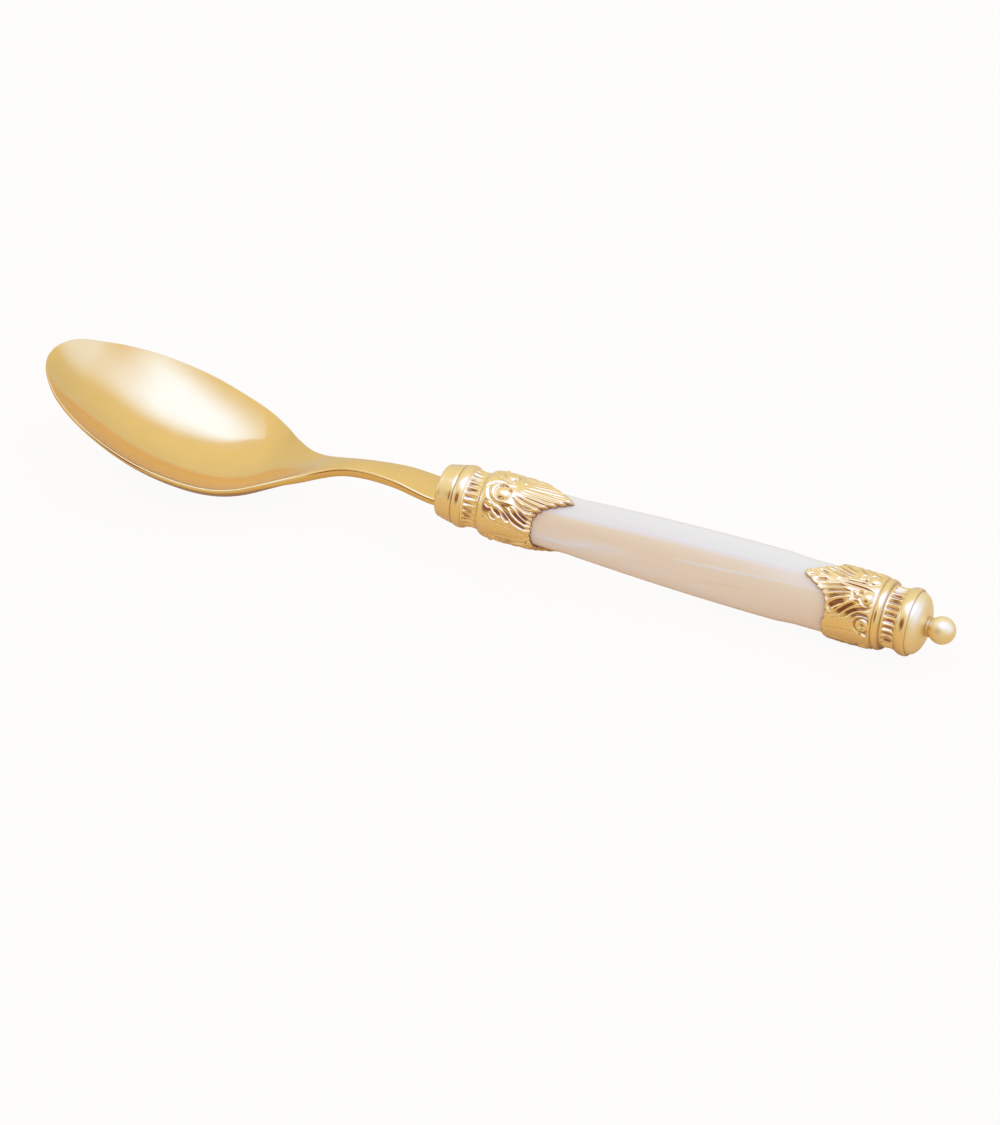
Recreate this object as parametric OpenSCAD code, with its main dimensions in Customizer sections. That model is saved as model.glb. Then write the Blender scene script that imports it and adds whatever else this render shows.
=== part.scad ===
// Tablespoon with a pearl acrylic grip between two cast leaf ferrules.
// Millimetres, +X from the bowl to the finial, +Z up, lying as it rests on a table.

/* [Bowl] */
// width of the bowl across its rim
bowl_w = 38.4; // [32:0.2:46]
// length from the tip to the widest place
bowl_front = 30.5; // [24:0.5:38]
// length from the widest place to the narrowest place of the neck
bowl_back = 43; // [36:0.5:52]
// depth of the hollow below the rim
bowl_depth = 8.8; // [7:0.2:12]
// height of the tip over the axis of the handle
tip_rise = 7.6; // [4:0.2:10]
// drop of the rim below the axis of the handle at its lowest place
rim_drop = 5.2; // [3:0.2:7]
// thickness of the metal at the bottom of the bowl
wall = 1.5; // [1.1:0.1:2.2]
// thickness of the metal at the rim
rim_t = 0.9; // [0.6:0.1:1.4]

/* [Shank] */
// width of the neck at its narrowest place
neck_w = 5.2; // [4:0.1:6.5]
// thickness of the neck
neck_t = 2.4; // [1.8:0.1:3.2]
// length from the narrowest place to the collar
shank_len = 22.1; // [18:0.1:30]
// width of the shank at the collar
shank_w = 9; // [6.5:0.1:9.5]
// thickness of the shank at the collar
shank_t = 1.7; // [1.3:0.1:2.4]
// height of the neck over the axis of the handle
neck_rise = 0.2; // [-1:0.1:1.5]
// rise of the shank's arch over the axis of the handle
arch_rise = 1.2; // [0:0.1:3]
// depth to which the shank stands in the collar
seat_depth = 1.6; // [1:0.1:2.4]

/* [Grip] */
// diameter of the grip under the front ferrule
grip_front_d = 12.4; // [11:0.2:13.6]
// largest diameter of the grip
grip_max_d = 15.2; // [14.8:0.1:18]
// diameter of the grip under the end ferrule
grip_rear_d = 14.6; // [13.6:0.1:14.8]
// length of the grip
grip_len = 89.6; // [76:0.2:110]

/* [Front ferrule] */
// diameter of the collar at its face
collar_face_d = 11.8; // [11.2:0.1:12.4]
// diameter of the collar at the bead
collar_d = 13.2; // [12.4:0.1:15]
// length of the plain collar
collar_len = 4.2; // [3:0.1:6]
// diameter of the bead behind the collar
bead_d = 14; // [13.4:0.1:16]
// length of the bead
bead_len = 2.5; // [1.8:0.1:3.5]
// smallest diameter of the reeded neck
front_reed_d = 12.3; // [11.5:0.1:13.2]
// length of the reeded neck
front_reed_len = 3.7; // [3:0.1:6]
// thickness of the leaves over the grip
front_leaf_t = 1.2; // [0.8:0.05:1.8]
// length of the leaves from the drum's edge to the tips
front_tip_len = 20.3; // [17:0.1:24]
// length of the leaves from the drum's edge to the side seams
front_side_len = 12.5; // [11:0.1:15]
// half angle over which a leaf tip narrows
front_tip_angle = 30; // [20:1:36]
// turn of the front ferrule about the handle
front_turn = 7; // [-20:1:20]

/* [End ferrule] */
// smallest diameter of the reeded neck
end_reed_d = 13.2; // [12:0.1:14.4]
// length from the cap to the leaves: the reeded neck and the plain lip
end_reed_len = 5.3; // [3.6:0.1:7]
// length of the plain lip between the reeds and the leaves
end_lip_len = 1.8; // [1:0.1:2.4]
// thickness of the leaves over the grip
end_leaf_t = 0.8; // [0.6:0.05:1.6]
// length of the leaves from the drum's edge to the tips
end_tip_len = 17.3; // [15:0.1:22]
// length of the leaves from the drum's edge to the side seams
end_side_len = 11.2; // [10:0.1:14]
// half angle over which a leaf tip narrows
end_tip_angle = 23; // [18:1:36]
// turn of the end ferrule about the handle
end_turn = 18; // [-30:1:30]
// diameter of the cap's rim
cap_d = 15; // [14:0.1:17]
// length of the cap's rim
cap_rim_len = 2.4; // [1.8:0.1:4]
// height of the cap's dome
dome_h = 2.8; // [1.4:0.1:4]

/* [Finial] */
// diameter of the ball
ball_d = 6.1; // [5.4:0.1:8]
// diameter of the stem
stem_d = 4.4; // [4:0.1:5]
// length of the stem between the dome and the ball
stem_len = 1.1; // [0.8:0.1:3]

/* [Tie rod] */
// diameter of the tie rod
rod_d = 3; // [2.4:0.1:3.4]
// length of the rod inside the finial
rod_grip = 3.6; // [2.5:0.1:5]

/* [Relief] */
// depth of the valleys between the ribs, as a share of the leaf's thickness
rib_share = 0.5; // [0.3:0.05:0.6]
// height of the volutes at the foot of each leaf
volute_h = 0.5; // [0.2:0.05:0.8]
// depth of the flutes in the reeded necks
flute_depth = 0.35; // [0.15:0.05:0.5]
// number of flutes in a quarter of a neck
quarter_flutes = 7; // [5:1:9]

/* [Fits] */
// clearance all round the shank in its slot
slot_fit = 0.15; // [0.1:0.05:0.3]
// clearance between the grip and the ferrules
sleeve_fit = 0.1; // [0.05:0.05:0.2]
// clearance all round the tie rod
rod_fit = 0.2; // [0.1:0.05:0.4]
// clearance between the rod and the finial's thread
thread_fit = 0.05; // [0.05:0.01:0.1]

/* [Hidden] */
$fn = 48;

gold = [0.86, 0.70, 0.36];
cast_gold = [0.90, 0.78, 0.50];
pearl = [0.89, 0.82, 0.72];

// places along the handle, from the face of the collar
blank_len = bowl_front + bowl_back + shank_len;
front_drum_x = collar_len + bead_len + front_reed_len;
// step inside the drum, against which the grip stands
shoulder = 1.1;
grip_x = front_drum_x + shoulder;
end_drum_x = grip_x + grip_len + shoulder;
cap_x = end_drum_x + end_reed_len;
dome_x = cap_x + cap_rim_len + dome_h;
// from the place where the stem enters the ball to the ball's middle
ball_root = sqrt(pow(ball_d / 2, 2) - pow(stem_d / 2, 2));
ball_x = dome_x + stem_len + ball_root;
front_bore_d = grip_front_d + 2 * sleeve_fit;
end_bore_d = grip_rear_d + 2 * sleeve_fit;
// how far a cutter or a hidden root runs past the face that it starts from
past = 1;

// a smooth curve through a few points [x, value], level at both ends
function curve_slope(p, i) =
    (i == 0 || i == len(p) - 1) ? 0 : (p[i + 1][1] - p[i - 1][1]) / (p[i + 1][0] - p[i - 1][0]);
function curve_span(p, x, i = 0) = (i >= len(p) - 2 || x < p[i + 1][0]) ? i : curve_span(p, x, i + 1);
function hermite(a, b, ma, mb, t) =
    a * (1 + 2 * t) * pow(1 - t, 2) + b * t * t * (3 - 2 * t)
        + ma * t * pow(1 - t, 2) - mb * t * t * (1 - t);
function curve(p, x) =
    let (i = curve_span(p, x))
    let (w = p[i + 1][0] - p[i][0])
    let (t = min(1, max(0, (x - p[i][0]) / w)))
    hermite(p[i][1], p[i + 1][1], w * curve_slope(p, i), w * curve_slope(p, i + 1), t);
function ease(t) = let (c = min(1, max(0, t))) c * c * (3 - 2 * c);
function mix(a, b, t) = a + (b - a) * t;

// closed skin over equal rings of points, with both ends capped
module skin(rings) {
    n = len(rings[0]);
    m = len(rings);
    sides = [
        for (j = [0 : m - 2], i = [0 : n - 1])
            let (k = (i + 1) % n)
            each [
                [j * n + i, j * n + k, (j + 1) * n + k],
                [j * n + i, (j + 1) * n + k, (j + 1) * n + i]
            ]
    ];
    first = [for (i = [n - 1 : -1 : 0]) i];
    last = [for (i = [0 : n - 1]) (m - 1) * n + i];
    polyhedron(points = [for (r = rings) each r], faces = concat(sides, [first, last]));
}

// Bowl and shank. d runs from the tip to the collar.
neck_d = bowl_front + bowl_back;
hollow_back = 0.84 * bowl_back;
// roundness of the outline in front of the widest place; 2 is an ellipse
front_power = 1.8;
back_shape = [
    [0, 1], [0.22, 0.94], [0.38, 0.82], [0.5, 0.635], [0.6, 0.42], [0.72, 0.2], [0.86, 0.055], [1, 0]
];
rim_line = [
    [0, tip_rise],
    [0.25 * bowl_front, 0.63 * tip_rise],
    [bowl_front, -0.33 * rim_drop],
    [bowl_front + 0.43 * bowl_back, -rim_drop],
    [bowl_front + 0.71 * bowl_back, -0.75 * rim_drop],
    [neck_d, neck_rise],
    [neck_d + 0.5 * shank_len, arch_rise],
    [blank_len, 0]
];
thickness_line = [[0, wall], [bowl_front, wall], [neck_d, neck_t], [blank_len, shank_t]];
crown = 0.25;

function half_width(d) =
    d < bowl_front ? bowl_w / 2 * sqrt(max(0, 1 - pow(1 - d / bowl_front, front_power)))
    : d < neck_d ? mix(neck_w, bowl_w, curve(back_shape, (d - bowl_front) / bowl_back)) / 2
    : mix(neck_w, shank_w, ease((d - neck_d) / shank_len)) / 2;
function rim_z(d) = d >= blank_len ? 0 : curve(rim_line, d);
function thickness(d) = curve(thickness_line, d);
function hollow(d) =
    d < bowl_front ? bowl_depth * (1 - pow(1 - d / bowl_front, 2))
    : bowl_depth * pow(max(0, 1 - pow((d - bowl_front) / hollow_back, 2)), 1.5)
        - crown * ease((d - bowl_front - 0.7 * bowl_back) / (0.4 * bowl_back));

// one section: over the top from side to side, the side face, then back underneath
top_n = 16;
sag_power = 2.1;
edge_round = 0.3;
least_half_top = 0.3;
// share of the metal by which the underside of a steep wall stands out sideways
under_out = 0.55;
// the bowl thins towards its rim, and the thinning ends before the neck
thin_from = bowl_front + 0.4 * bowl_back;
thin_to = bowl_front + 0.85 * bowl_back;
function deep(d, v) = max(0, hollow(d)) / bowl_depth * (1 - pow(abs(v), sag_power));
function rim_share(d, v) = (1 - ease((d - thin_from) / (thin_to - thin_from))) * pow(1 - deep(d, v), 3);
function metal(d, v) = mix(thickness(d), rim_t, rim_share(d, v));
function edge_t(d) = edge_round * metal(d, 1);
function top_y(d, v) = v * max(least_half_top, half_width(d) - edge_t(d));
function top_z(d, v) = rim_z(d) - hollow(d) * (1 - pow(abs(v), sag_power));
function lean(d, v) =
    hollow(d) <= 0 ? 0
    : atan(sag_power * hollow(d) * pow(abs(v), sag_power - 1) / max(neck_w / 2, half_width(d)));
function top_point(d, v) = [top_y(d, v), top_z(d, v)];
function under_point(d, v) =
    top_point(d, v) + metal(d, v) * [sign(v) * sin(lean(d, v)) * under_out, -mix(1, cos(lean(d, v)), 0.5)];
function edge_point(d, s, t) =
    mix(top_point(d, s), under_point(d, s), t)
        + 0.9 * edge_t(d) * [s * cos(0.6 * lean(d, s)), 0.5 * sin(lean(d, s))];
function blank_section(d) = concat(
    [for (i = [0 : top_n]) top_point(d, -cos(180 * i / top_n))],
    [edge_point(d, 1, 0.2), edge_point(d, 1, 0.8)],
    [for (i = [top_n : -1 : 0]) under_point(d, -cos(180 * i / top_n))],
    [edge_point(d, -1, 0.8), edge_point(d, -1, 0.2)]
);
blank_stations = concat(
    [for (i = [0 : 9]) bowl_front * (1 - cos(mix(3, 90, i / 9)))],
    [for (i = [1 : 18]) bowl_front + bowl_back * i / 18],
    [for (i = [1 : 8]) neck_d + shank_len * i / 8],
    [blank_len + seat_depth]
);
function blank_ring(d) = [for (p = blank_section(min(d, blank_len))) [d - blank_len, p[0], p[1]]];

// Leaf ferrule. u runs from the drum's edge to the leaf tips, a from a leaf's middle to its side seam.
columns_per_flute = 4;
quarter = quarter_flutes * columns_per_flute;
columns = 4 * quarter;
// each rib of the fan is two columns wide, with one column of valley beside it
rib_columns = 3;
fan_columns = rib_columns * round(0.64 * quarter / rib_columns);
foot_angle = 40;
fan_angle = 64;

// column number folded into one half leaf
function folded(c) = let (k = c % (2 * quarter)) k <= quarter ? k : 2 * quarter - k;
function spread(k, at) =
    k <= fan_columns ? at * k / fan_columns : mix(at, 90, (k - fan_columns) / (quarter - fan_columns));
function fan_of(k, t) = spread(k, mix(foot_angle, fan_angle, ease(t)));
function leaf_reach(a, tip, side, width) = side + (tip - side) * exp(-pow(a / width, 2));
function is_valley(k) = k < fan_columns && k % rib_columns == rib_columns - 1;
function dist(u, a, cu, ca, r) = norm([u - cu, (a - ca) * r * PI / 180]);
function boss(d, r) = d < r ? sqrt(1 - pow(d / r, 2)) : 0;
function ring_wave(d, r, w) = exp(-pow((d - r) / w, 2));

// the volute by the leaf's middle and the scroll by the seam: share of the foot's length, angle, radius
volute_at = 0.66;
volute_angle = 18;
volute_r = 2.3;
scroll_at = 0.38;
scroll_angle = 61;
scroll_r = 1.5;
// height of the carving at the foot of a leaf
function foot_relief(u, a, r, foot) =
    let (inner = dist(u, a, volute_at * foot, volute_angle, r))
    let (outer = dist(u, a, scroll_at * foot, scroll_angle, r))
    volute_h * (boss(inner, volute_r) + 0.7 * ring_wave(outer, scroll_r, 0.45))
        + volute_h * 0.6 * boss(outer, 0.5 * scroll_r)
        - 0.5 * volute_h * (ring_wave(inner, 1.2 * volute_r, 0.35) + ring_wave(outer, 1.5 * scroll_r, 0.35));

// reeded neck and leaf drum with two leaves, as one skin
module leaf_body(reed_d, reed_len, lip_len, bore_d, leaf_t, tip, side, width) {
    reed_r = reed_d / 2;
    drum_r = bore_d / 2 + leaf_t;
    foot = tip / 3;
    flare = 0.35;
    lip_r = mix(reed_r + flare, drum_r, lip_len > 0 ? 0.6 : 0);
    shoulder_len = 2;
    flute_end = 0.2;
    flute_run = 0.4;
    notch = 0.45;
    // rows of the neck: place and share of the flutes' depth
    reed_rows = [
        [-reed_len - past / 2, 0],
        [-reed_len + flute_end, 0],
        [-reed_len + flute_end + flute_run, 1],
        [-(reed_len + lip_len) / 2, 1],
        [-lip_len - 2 * flute_run, 1],
        [-lip_len - flute_run, 0],
        [-lip_len - flute_run / 4, 0]
    ];
    // rows of the lip: place and radius
    lip_rows = [
        if (lip_len > 0) each [
            [-lip_len, lip_r - crown],
            [-0.8 * lip_len, lip_r],
            [-0.3 * lip_len, lip_r + crown / 2],
            [0, lip_r - crown]
        ]
    ];
    foot_rows = 7;
    fan_rows = [0.17, 0.34, 0.52, 0.7, 0.86, 1];
    function column_angle(c) = 360 * c / columns;
    function at(u, angle, r) = [u, r * sin(angle), r * cos(angle)];
    function place(c, a) =
        let (k = c % (2 * quarter))
        let (base = floor(c / (2 * quarter)) * 180)
        k <= quarter ? base + a : base + 180 - a;
    function reed_arc(u) = reed_r + flare * pow(2 * (u + lip_len) / (reed_len - lip_len) + 1, 2);
    function flute(c) = flute_depth * (1 - cos(360 * c / columns_per_flute)) / 2;
    function edge_u(k) =
        leaf_reach(spread(k, fan_angle), tip, side, width) - (is_valley(k) ? notch : 0);
    function rib_relief(k, t) = (is_valley(k) ? -rib_share : 0.1) * leaf_t * ease(2 * t);
    outer = concat(
        [for (row = reed_rows) [
            for (c = [0 : columns - 1]) at(row[0], column_angle(c), reed_arc(row[0]) - row[1] * flute(c))
        ]],
        [for (row = lip_rows) [for (c = [0 : columns - 1]) at(row[0], column_angle(c), row[1])]],
        [for (i = [1 : 3]) [
            for (c = [0 : columns - 1])
                let (r = mix(lip_r, drum_r, sin(25 * i)))
                at(shoulder_len * (1 - cos(25 * i)), column_angle(c), r)
        ]],
        [for (i = [1 : foot_rows]) [
            for (c = [0 : columns - 1])
                let (u = mix(shoulder_len - 0.3, foot, i / foot_rows))
                let (k = folded(c))
                let (a = mix(90 * k / quarter, spread(k, foot_angle), ease(u / 3)))
                at(u, place(c, a), drum_r + foot_relief(u, a, drum_r, foot))
        ]],
        [for (t = fan_rows) [
            for (c = [0 : columns - 1])
                let (k = folded(c))
                let (a = fan_of(k, t))
                let (u = mix(foot, edge_u(k), t))
                let (r = drum_r - 0.2 * leaf_t * t)
                at(u, place(c, a), r + rib_relief(k, t) + foot_relief(u, a, drum_r, foot))
        ]]
    );
    inner = [
        [for (c = [0 : columns - 1]) let (k = folded(c)) at(edge_u(k), place(c, fan_of(k, 1)), bore_d / 2)],
        [for (c = [0 : columns - 1]) at(shoulder, column_angle(c), bore_d / 2)]
    ];
    skin(concat(outer, inner));
}

// Resting place. The handle leans so that the bowl and the end ferrule touch the table.
under_line = [
    for (i = [0 : 40])
        let (d = bowl_front * 0.6 + i * bowl_back * 0.02)
        [d - blank_len, under_point(d, 0)[1]]
];
heel = [end_drum_x - 0.22 * end_tip_len, -end_bore_d / 2 - end_leaf_t - volute_h];
function height(p, lean_deg) = p[1] * cos(lean_deg) - p[0] * sin(lean_deg);
function lowest(lean_deg, i = 0, best = 0) =
    i >= len(under_line) ? under_line[best]
    : let (lower = height(under_line[i], lean_deg) < height(under_line[best], lean_deg))
    lowest(lean_deg, i + 1, lower ? i : best);
function lean_to(p) = atan((heel[1] - p[1]) / (heel[0] - p[0]));
rest_lean = lean_to(lowest(lean_to(lowest(2))));
rest_low = height(heel, rest_lean);
tip_x = -blank_len * cos(rest_lean) + tip_rise * sin(rest_lean);
end_x = ball_x * cos(rest_lean) + ball_d / 2;

module on_table() {
    translate([-(tip_x + end_x) / 2, 0, -rest_low])
        rotate([0, rest_lean, 0])
            children();
}

module turned(profile) {
    rotate([0, 90, 0])
        rotate_extrude()
            polygon([for (p = profile) [p[1], p[0]]]);
}

// rows [x, radius] of a turned swelling whose crest stands h over the line between its ends
function swell(from, to, r_from, r_to, h, n = 10) = [
    for (i = [0 : n])
        let (t = (1 - cos(180 * i / n)) / 2)
        [mix(from, to, t), mix(r_from, r_to, t) + h * sin(180 * i / n)]
];

module bore(from, to, d) {
    translate([from, 0, 0])
        rotate([0, 90, 0])
            cylinder(h = to - from, d = d);
}

module spoon_blank() {
    color(gold)
        on_table()
            skin([for (d = blank_stations) blank_ring(d)]);
}

module tie_rod() {
    color(gold)
        on_table()
            bore(seat_depth, dome_x + rod_grip, rod_d);
}

module front_ferrule() {
    face_r = collar_face_d / 2;
    r = collar_d / 2;
    seam = 0.2;
    face_round = 0.7;
    bead_x = collar_len + bead_len;
    reed_r = front_reed_d / 2;
    profile = concat(
        [[0, 0]],
        [for (a = [0 : 15 : 90]) [face_round * (1 - cos(a)), face_r - face_round * (1 - sin(a))]],
        [[collar_len - seam, r]],
        swell(collar_len, bead_x, r - seam, reed_r, bead_d / 2 - (r - seam + reed_r) / 2),
        [[bead_x, 0]]
    );
    color(cast_gold)
        on_table()
            difference() {
                union() {
                    turned(profile);
                    translate([front_drum_x, 0, 0])
                        rotate([front_turn, 0, 0])
                            leaf_body(
                                front_reed_d, front_reed_len, 0, front_bore_d, front_leaf_t,
                                front_tip_len, front_side_len, front_tip_angle
                            );
                }
                translate([-past, -shank_w / 2 - slot_fit, -shank_t - slot_fit])
                    cube([seat_depth + past, shank_w + 2 * slot_fit, shank_t + crown + 2 * slot_fit]);
                bore(seat_depth - past / 2, grip_x + past, rod_d + 2 * rod_fit);
            }
}

module grip() {
    lip = 0.5;
    front_end = front_drum_x + front_tip_len + lip;
    rear_end = end_drum_x - end_tip_len - lip;
    widest = mix(rear_end, front_end, 0.1);
    steps = 16;
    profile = concat(
        [[grip_x, 0], [grip_x, grip_front_d / 2]],
        [
            for (i = [0 : steps])
                let (t = i / steps)
                [mix(front_end, widest, t), mix(grip_max_d, grip_front_d, pow(1 - t, 2)) / 2]
        ],
        [
            for (t = [0.25, 0.5, 0.75, 1])
                [mix(widest, rear_end, t), mix(grip_max_d, grip_rear_d, ease(t)) / 2]
        ],
        [[grip_x + grip_len, grip_rear_d / 2], [grip_x + grip_len, 0]]
    );
    color(pearl)
        on_table()
            difference() {
                turned(profile);
                bore(grip_x - past, grip_x + grip_len + past, rod_d + 2 * rod_fit);
            }
}

module end_ferrule() {
    r = cap_d / 2;
    crease = 0.3;
    dome_r = r - 2 * crease;
    // the dome ends in a small flat around the stem
    flat_r = stem_d / 2 + 0.5;
    dome_power = 0.75;
    dome_end = acos(pow(flat_r / dome_r, 1 / dome_power));
    reed_r = end_reed_d / 2;
    rim_x = cap_x + cap_rim_len;
    profile = concat(
        [[cap_x, 0]],
        swell(cap_x, rim_x, reed_r, r - crease, r - (reed_r + r - crease) / 2),
        [
            for (i = [0 : 8])
                let (a = dome_end * i / 8)
                [rim_x + dome_h * sin(a) / sin(dome_end), dome_r * pow(cos(a), dome_power)]
        ],
        [[dome_x, 0]]
    );
    color(cast_gold)
        on_table()
            difference() {
                union() {
                    turned(profile);
                    translate([end_drum_x, 0, 0])
                        rotate([end_turn, 0, 0])
                            mirror([1, 0, 0])
                                leaf_body(
                                    end_reed_d, end_reed_len, end_lip_len, end_bore_d, end_leaf_t,
                                    end_tip_len, end_side_len, end_tip_angle
                                );
                }
                bore(end_drum_x - shoulder - past, dome_x + past, rod_d + 2 * rod_fit);
            }
}

module finial() {
    r = stem_d / 2;
    groove = 0.2;
    groove_x = dome_x + 0.4 * stem_len;
    color(gold)
        on_table()
            difference() {
                union() {
                    turned([
                        [dome_x, 0],
                        [dome_x, r],
                        [groove_x - groove, r],
                        [groove_x, r - groove],
                        [groove_x + groove, r],
                        [dome_x + stem_len, r],
                        [ball_x, 0]
                    ]);
                    translate([ball_x, 0, 0])
                        sphere(d = ball_d);
                }
                bore(dome_x - past, dome_x + rod_grip + thread_fit, rod_d + 2 * thread_fit);
            }
}

spoon_blank();
tie_rod();
front_ferrule();
grip();
end_ferrule();
finial();
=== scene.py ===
import math

import bpy
import numpy as np
from mathutils import Matrix, Vector


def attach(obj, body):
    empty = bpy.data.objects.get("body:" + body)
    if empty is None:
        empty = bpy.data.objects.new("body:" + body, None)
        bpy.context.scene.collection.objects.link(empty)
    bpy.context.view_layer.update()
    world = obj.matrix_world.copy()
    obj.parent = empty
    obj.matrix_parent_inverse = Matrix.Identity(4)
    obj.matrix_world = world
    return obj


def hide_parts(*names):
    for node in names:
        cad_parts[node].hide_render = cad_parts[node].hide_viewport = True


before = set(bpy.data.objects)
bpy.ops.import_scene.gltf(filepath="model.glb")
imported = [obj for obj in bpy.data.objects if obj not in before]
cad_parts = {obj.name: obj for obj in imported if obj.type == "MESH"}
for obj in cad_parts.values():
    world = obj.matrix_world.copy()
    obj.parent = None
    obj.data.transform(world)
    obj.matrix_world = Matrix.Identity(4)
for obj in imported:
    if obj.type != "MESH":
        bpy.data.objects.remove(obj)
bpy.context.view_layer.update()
MM = 0.001

# The handle's own frame
# Its origin is the middle of the collar's face. x runs along the handle to the finial, z up. Millimetres.
SEAT = 1.6  # how far inside the collar the shank ends and the rod starts
rod = np.array([v.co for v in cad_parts["tie_rod"].data.vertices], float)
mid_x = (rod[:, 0].min() + rod[:, 0].max()) / 2
near, far = rod[rod[:, 0] < mid_x], rod[rod[:, 0] >= mid_x]
near_c, far_c = (near.min(0) + near.max(0)) / 2, (far.min(0) + far.max(0)) / 2
X_AXIS = (far_c - near_c) / np.linalg.norm(far_c - near_c)
Y_AXIS = np.array([0.0, 1.0, 0.0])
Z_AXIS = np.cross(X_AXIS, Y_AXIS)
ORIGIN = near_c - SEAT * MM * X_AXIS
TURN = np.array([X_AXIS, Y_AXIS, Z_AXIS])


def to_row(p):
    """Points of the handle's frame, in mm, as points of the row frame, in metres."""
    return np.asarray(p, float) * MM @ TURN + ORIGIN


def ease(t):
    t = np.clip(t, 0, 1)
    return t * t * (3 - 2 * t)


def mix(a, b, t):
    return a + (b - a) * t


def step(a, b, x):
    return ease((np.asarray(x, float) - a) / (b - a))


# Meshes
def make_mesh(name, points, faces, material, shades=None):
    """A smooth mesh from points of the handle's frame. Its shades, one a point, are for the material: painted
    shade and painted sheen on the gold, and on the pearl its tones, which hold painted light too.
    """
    mesh = bpy.data.meshes.new(name)
    mesh.from_pydata([tuple(p) for p in to_row(points)], [], faces)
    mesh.polygons.foreach_set("use_smooth", [True] * len(mesh.polygons))
    if shades is not None:
        shade = mesh.attributes.new("shade", "FLOAT", "POINT")
        shade.data.foreach_set("value", np.asarray(shades, "f4"))
    mesh.update()
    obj = bpy.data.objects.new(name, mesh)
    bpy.context.scene.collection.objects.link(obj)
    mesh.materials.append(material)
    return obj


def tube_faces(m, n):
    """Quads over m rings of n points, and fans to the two end points at indices m*n and m*n + 1."""
    faces = []
    for j in range(m - 1):
        a, b = j * n, (j + 1) * n
        for i in range(n):
            k = (i + 1) % n
            faces.append((a + k, a + i, b + i, b + k))
    last = (m - 1) * n
    for i in range(n):
        k = (i + 1) % n
        faces.append((m * n, i, k))
        faces.append((m * n + 1, last + k, last + i))
    return faces


def tube(name, rings, material, shades=None):
    """A closed piece through rings of points, with a fan at each end."""
    rings = np.asarray(rings, float)
    m, n, _ = rings.shape
    ends = [rings[0].mean(0), rings[-1].mean(0)]
    points = np.vstack([rings.reshape(-1, 3), ends])
    if shades is not None:
        shades = np.append(np.asarray(shades, float).ravel(), [0, 0])
    return make_mesh(name, points, tube_faces(m, n), material, shades)


def turned_rings(rows, n):
    """Rings of n points from rows (x, radius) along the handle."""
    a = np.radians(np.linspace(0, 360, n, endpoint=False))
    return [np.stack([np.full(n, x), r * np.sin(a), r * np.cos(a)], 1) for x, r in rows]


# Sizes, as in the solids
BOWL_W, BOWL_FRONT, BOWL_BACK, BOWL_DEPTH = 38.4, 30.5, 43.0, 8.8
TIP_RISE, RIM_DROP, WALL, RIM_T = 7.6, 5.2, 1.5, 0.9
NECK_W, NECK_T, SHANK_LEN, SHANK_W, SHANK_T = 5.2, 2.4, 22.1, 9.0, 1.7
NECK_RISE, ARCH_RISE, CROWN = 0.2, 1.2, 0.25
NECK_D = BOWL_FRONT + BOWL_BACK
BLANK_LEN = NECK_D + SHANK_LEN
HOLLOW_BACK = 0.84 * BOWL_BACK
SAG, FRONT_POWER, EDGE_ROUND = 2.1, 1.8, 0.3
THIN_FROM, THIN_TO = BOWL_FRONT + 0.4 * BOWL_BACK, BOWL_FRONT + 0.85 * BOWL_BACK


def curve(points, x):
    """A smooth curve through a few points, level at both ends."""
    p = np.array(points, float)
    slopes = np.zeros(len(p))
    slopes[1:-1] = (p[2:, 1] - p[:-2, 1]) / (p[2:, 0] - p[:-2, 0])
    x = np.clip(np.asarray(x, float), p[0, 0], p[-1, 0])
    i = np.clip(np.searchsorted(p[:, 0], x, side="right") - 1, 0, len(p) - 2)
    w = p[i + 1, 0] - p[i, 0]
    t = (x - p[i, 0]) / w
    return (p[i, 1] * (1 + 2 * t) * (1 - t) ** 2 + p[i + 1, 1] * t * t * (3 - 2 * t)
            + w * slopes[i] * t * (1 - t) ** 2 - w * slopes[i + 1] * t * t * (1 - t))


BACK_SHAPE = [(0, 1), (0.22, 0.94), (0.38, 0.82), (0.5, 0.635), (0.6, 0.42), (0.72, 0.2),
              (0.86, 0.055), (1, 0)]
RIM_LINE = [(0, TIP_RISE), (0.25 * BOWL_FRONT, 0.63 * TIP_RISE), (BOWL_FRONT, -0.33 * RIM_DROP),
            (BOWL_FRONT + 0.43 * BOWL_BACK, -RIM_DROP), (BOWL_FRONT + 0.71 * BOWL_BACK, -0.75 * RIM_DROP),
            (NECK_D, NECK_RISE), (NECK_D + 0.5 * SHANK_LEN, ARCH_RISE), (BLANK_LEN, 0)]
THICKNESS_LINE = [(0, WALL), (BOWL_FRONT, WALL), (NECK_D, NECK_T), (BLANK_LEN, SHANK_T)]


# In the functions below d is the distance from the bowl's tip, and v runs across from -1 to 1.
def half_width(d):
    d = np.asarray(d, float)
    front = BOWL_W / 2 * np.sqrt(np.clip(1 - np.abs(1 - d / BOWL_FRONT) ** FRONT_POWER, 0, 1))
    back = mix(NECK_W, BOWL_W, curve(BACK_SHAPE, (d - BOWL_FRONT) / BOWL_BACK)) / 2
    shank = mix(NECK_W, SHANK_W, ease((d - NECK_D) / SHANK_LEN)) / 2
    return np.where(d < BOWL_FRONT, front, np.where(d < NECK_D, back, shank))


def hollow(d):
    """Depth of the hollow along its middle."""
    d = np.asarray(d, float)
    front = BOWL_DEPTH * (1 - (1 - d / BOWL_FRONT) ** 2)
    back = (BOWL_DEPTH * np.clip(1 - ((d - BOWL_FRONT) / HOLLOW_BACK) ** 2, 0, 1) ** 1.5
            - CROWN * ease((d - BOWL_FRONT - 0.7 * BOWL_BACK) / (0.4 * BOWL_BACK)))
    return np.where(d < BOWL_FRONT, front, back)


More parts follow.
